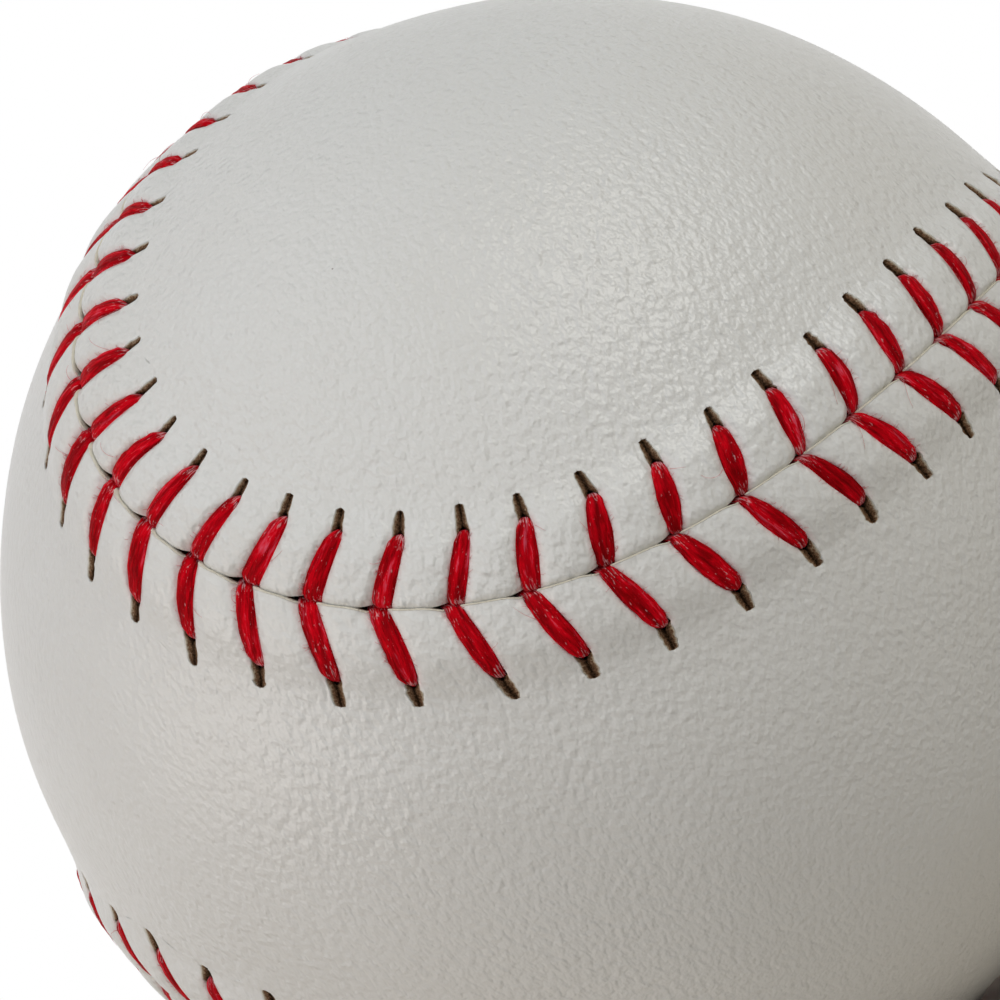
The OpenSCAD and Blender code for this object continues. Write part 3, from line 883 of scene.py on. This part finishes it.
def makeNeedleThread(name, firstRow, material):
    places = []
    for j in range(stitchCount):
        k = (stitchCount - j) % stitchCount
        row = firstRow if j % 2 == 0 else 1 - firstRow
        side = sides[row]
        hole, under = holeAt[row, k], thread["underAt"]
        # distance from the crease, height over the lifted leather, width, thickness, steps to the next
        course = [(hole + past, *section) for past, *section in thread["inHole"]]
        for v in thread["legShares"]:
            course.append((v * hole, legHeight(v), legWidth(row, k, v), legThick(v), 3))
        first = legWidth(row, k, 0)
        course += [(u, h, w * first if h else w, t, steps) for u, h, w, t, steps in thread["inCrease"]]
        for u, h, w, t, steps in course:
            x = k + legOffset(row, k, max(u, 0.0)) / pitch
            if u < 0.3:
                # below the skin the two threads keep to their own sides of the crossing
                x += side * thread["apart"][0 if u <= 0 else 1] / pitch
            height = under if h is None else baseLift(u) + h
            # it is worn most where it goes down the crease and into its hole
            worn = math.exp(-(u / 0.7) ** 2) + math.exp(-((u - hole) / 0.4) ** 2)
            places.append((x, side * u, height, w, t, steps, side, worn))
        other = 1 - row
        x1, u1 = x, u
        reach = holeAt[other, (k - 1) % stitchCount] + thread["inHole"][0][0]
        x2 = k - 1 + legOffset(other, (k - 1) % stitchCount, reach) / pitch
        for share in thread["underShares"]:
            place = (x1 + (x2 - x1) * share, side * (u1 - (reach + u1) * share), under)
            places.append((*place, thread["underWidth"], thread["underThick"], 1, side, 0))
    places = np.array(places)
    x, u, h, w, t, steps, side, worn = places.T
    centres = (ball["radius"] + h)[:, None] * direction(x, u)
    along = seamFrame(x)[1]

    # a smooth line through the places, with more steps where the thread shows
    sections = []
    n = len(places)
    before, after, far = np.roll(np.arange(n), 1), np.roll(np.arange(n), -1), np.roll(np.arange(n), -2)
    values = np.concatenate([centres, along, w[:, None], t[:, None], side[:, None], worn[:, None]], 1)
    for i in range(n):
        for s in np.arange(int(steps[i])) / steps[i]:
            a, b, c, d = values[before[i]], values[i], values[after[i]], values[far[i]]
            spline = 0.5 * (2 * b + (c - a) * s + (2 * a - 5 * b + 4 * c - d) * s ** 2
                            + (3 * b - a - 3 * c + d) * s ** 3)
            plain = b + (c - b) * s
            spline[3:6], spline[8:] = plain[3:6], plain[8:]
            sections.append(spline)
    sections = np.array(sections)
    centres, along = sections[:, :3], sections[:, 3:6]
    tangent = np.roll(centres, -1, 0) - np.roll(centres, 1, 0)
    tangent /= np.linalg.norm(tangent, axis=1, keepdims=True)
    wide = along - tangent * np.sum(along * tangent, 1, keepdims=True)
    wide /= np.linalg.norm(wide, axis=1, keepdims=True)
    deep = np.cross(tangent, wide)
    run = np.concatenate([[0], np.cumsum(np.linalg.norm(np.diff(centres, axis=0), axis=1))])

    corners = thread["sectionPoints"]
    angle = np.arange(corners) * 2 * math.pi / corners
    topward = np.sign(sections[:, 8])[:, None] * np.sin(angle)[None, :]
    shape = np.ones((len(sections), corners))
    groove = np.zeros_like(shape)
    for g in range(thread["grooves"]):
        middle = g * 2 * math.pi / thread["grooves"] + thread["twist"] * run + 0.5 * np.sin(run * 0.31 + g)
        off = np.mod(angle[None, :] - middle[:, None] + math.pi, 2 * math.pi) - math.pi
        groove += np.exp(-(off / thread["grooveWidth"]) ** 2)
    shape -= thread["grooveDeep"] * groove
    # no two strands lie quite alike
    uneven = rng.normal(0, 1, shape.shape)
    for axis in (0, 0, 1, 1):
        uneven = (uneven + np.roll(uneven, 1, axis)) / 2
    shape += thread["uneven"] * uneven
    cosine, sine = np.cos(angle), np.sin(angle)
    flat = np.where(topward < 0, thread["underside"], 1.0)
    ringX = (sections[:, 6] / 2)[:, None] * np.sign(cosine) * np.abs(cosine) ** 0.9 * shape
    ringY = (sections[:, 7] / 2)[:, None] * sine * shape * flat
    points = centres[:, None] + ringX[..., None] * wide[:, None] + ringY[..., None] * deep[:, None]
    m = len(sections)
    ids = np.arange(m * corners).reshape(m, corners)
    a, b = ids, np.roll(ids, -1, 0)
    an, bn = np.roll(a, -1, 1), np.roll(b, -1, 1)
    triangles = triangleRows((a, bn, b), (a, an, bn))
    # filament direction and place round the thread, in millimetres
    total = run[-1] + np.linalg.norm(centres[0] - centres[-1])
    runA, runB = run, np.append(run[1:], total)
    girth = np.arange(corners + 1) * thread["girth"] / corners
    ua, ub = np.repeat(runA[:, None], corners, 1), np.repeat(runB[:, None], corners, 1)
    va, vb = np.repeat(girth[None, :-1], m, 0), np.repeat(girth[None, 1:], m, 0)
    uv = np.concatenate([
        np.stack([ua, va, ub, vb, ub, va], -1).reshape(-1, 3, 2),
        np.stack([ua, va, ua, vb, ub, vb], -1).reshape(-1, 3, 2)])
    groove, worn = np.clip(groove, 0, 1).ravel(), np.repeat(np.clip(sections[:, 9], 0, 1), corners)
    points = points.reshape(-1, 3)
    for legs, shortest, longest, bends in (thread["lint"], thread["hairs"]):
        more, faces = looseFibres(firstRow, legs, shortest, longest, bends)
        triangles = np.concatenate([triangles, faces + len(points)])
        points = np.concatenate([points, more])
        groove, worn = np.append(groove, np.zeros(len(more))), np.append(worn, np.full(len(more), -1.0))
        uv = np.concatenate([uv, np.zeros((len(faces), 3, 2))])
    return addMesh(name, points, triangles, dict(groove=groove, worn=worn), material, uv)


rearLeather, frontLeather = [makeLeather(name, deep) for name, deep in
                             zip(("whiteCowhideRear", "whiteCowhideFront"), leatherLook["grainDeep"])]
waxed = makeThread()
rearPanel = makePanel("leather_rear", 0, rearLeather)
frontPanel = makePanel("leather_front", 1, frontLeather)
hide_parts("cover_panel_rear")
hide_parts("cover_panel_front")
firstThread = makeNeedleThread("stitching_first", 0, waxed)
secondThread = makeNeedleThread("stitching_second", 1, waxed)
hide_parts("thread_first_needle")
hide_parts("thread_second_needle")


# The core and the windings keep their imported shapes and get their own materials

def makeInner(name, colourA, colourB, roughness, pattern, width):
    # width is the size of a granule, a yarn or a mould's fine mark, in millimetres
    material, node = startMaterial(name)
    place = node("TexCoord").outputs["Object"]
    scale = 1000 / width
    if pattern == "granules":
        value = node("TexVoronoi", Vector=place, Scale=scale)
    elif pattern == "yarn":
        value = node("TexWave", dict(wave_type="BANDS", bands_direction="DIAGONAL"),
                     Vector=place, Scale=scale / 6, Distortion=2.0, Detail=2.0)
    else:
        value = node("TexNoise", Vector=place, Scale=scale, Detail=3.0)
    colour = node("ValToRGB", dict(stops=[(0.1, colourA), (0.9, colourB)]), Fac=value)
    bump = node("Bump", Strength=0.4, Distance=0.0003, Height=value)
    shader = node("BsdfPrincipled", Base_Color=colour, Roughness=roughness, Normal=bump)
    node("OutputMaterial", Surface=shader)
    return material


innerFinishes = dict(
    # ground cork pressed with rubber: brown granules about 1 mm across
    cork_core=("compositionCork", "#6F4A2C", "#C79A6B", 0.85, "granules", 1.1),
    inner_shell_upper=("blackMouldedRubber", "#161514", "#262423", 0.6, "noise", 0.8),
    inner_shell_lower=("blackMouldedRubber", "#161514", "#262423", 0.6, "noise", 0.8),
    shell_gasket=("redRubberGasket", "#7C2119", "#A13528", 0.55, "noise", 0.7),
    outer_rubber_cover=("redMouldedRubber", "#7C2119", "#A13528", 0.55, "noise", 1.1),
    # yarns, wound side by side
    first_wool_winding=("thickGreyWool", "#6E6C68", "#A5A39D", 0.95, "yarn", 1.6),
    second_wool_winding=("whiteWool", "#BFBAAC", "#ECE8DC", 0.95, "yarn", 1.2),
    third_wool_winding=("thinGreyWool", "#6E6C68", "#A5A39D", 0.95, "yarn", 1.0),
    finishing_winding=("cottonYarn", "#CFC9B8", "#F0ECDF", 0.9, "yarn", 0.5),
)
made = {}
for nodeName, (name, *look) in innerFinishes.items():
    if name not in made:
        made[name] = makeInner(name, *look)
    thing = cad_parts[nodeName]
    thing.data.materials.clear()
    thing.data.materials.append(made[name])
print("materials on the", len(innerFinishes), "inner nodes")


# Floor, lamps and world

studio = dict(
    floorAt=-0.03788,
    floorReach=0.5,
    floorSides=96,
    paper="#D8D3CB",
    lampAway=0.6,
    ambient=0.03,
    # each lamp: where it stands, to the right, above and in front of the picture's middle, its watts,
    # its size and its colour
    lamps=dict(
        left=((-0.75, 0.55, 0.35), 0.57, 0.4, "#E4F0FF"),
        top=((0.1, 0.86, 0.5), 1.47, 0.26, "#FFFDF6"),
        lowLeft=((-0.9, -0.35, 0.3), 1.3, 0.4, "#FFF5EB"),
        front=((-0.5, 0.2, 0.9), 0.62, 0.5, "#EBF2FD"),
        behind=((0.06, 0.02, -1), 1.3, 0.2, "#FFFFFF"),
    ),
)


def seenDirectly(node):
    # rays that see the background itself: the camera's, and those that gloss or glass sends on
    rays = node("LightPath")
    seen = node("Math", larger, i0=rays.outputs["Is Camera Ray"], i1=rays.outputs["Is Glossy Ray"])
    return node("Math", larger, i0=seen, i1=rays.outputs["Is Transmission Ray"])


def makeFloor():
    # Plain pale paper: it keeps the ball's shadow and turns to the white of the background further out
    material, node = startMaterial("paleFloor")
    place = node("TexCoord").outputs["Object"]
    reach = node("VectorMath", dict(operation="LENGTH"), i0=place).outputs["Value"]
    far = node("ValToRGB", dict(stops=[(0.12, 0), (0.3, 1)]), Fac=reach)
    paper = node("BsdfDiffuse", Color=toLinear(studio["paper"]))
    white = node("Emission", Color=toLinear("#FFFFFF"), Strength=1.0)
    seen = node("Math", multiply, i0=seenDirectly(node), i1=far)
    mixed = node("MixShader", i0=seen, i1=paper, i2=white)
    node("OutputMaterial", Surface=mixed)
    mesh = bpy.data.meshes.new("floor")
    corners = studio["floorSides"]
    rim = [(studio["floorReach"] * math.cos(a), studio["floorReach"] * math.sin(a), 0)
           for a in np.linspace(0, 2 * math.pi, corners + 1)[:-1]]
    mesh.from_pydata(rim, [], [list(range(corners))])
    mesh.materials.append(material)
    floor = addObject("floor", mesh)
    floor.location.z = studio["floorAt"]


def addLamp(name, place, power, size, colour):
    data = bpy.data.lights.new(name, "AREA")
    data.shape = "DISK"
    data.size = size
    data.energy = power
    data.color = toLinear(colour)[:3]
    lamp = addObject(name, data)
    aim = Vector((0, 0, 0))
    for share, axis in zip(place, ("right", "up", "back")):
        aim += share * Vector(cameraPlace[axis])
    lamp.location = aim.normalized() * studio["lampAway"]
    lamp.rotation_euler = aim.to_track_quat("Z", "Y").to_euler()


makeFloor()
for name, lamp in studio["lamps"].items():
    addLamp(name, *lamp)

world = bpy.data.worlds.new("studio")
world.use_nodes = True
scene.world = world
world.node_tree.nodes.clear()
node = partial(addNode, world.node_tree)
level = node("Math", multiplyAdd, i0=seenDirectly(node), i1=1 - studio["ambient"], i2=studio["ambient"])
sky = node("Background", Color=toLinear("#FFFFFF"), Strength=level)
node("OutputWorld", Surface=sky)
print("stage and lamps set")
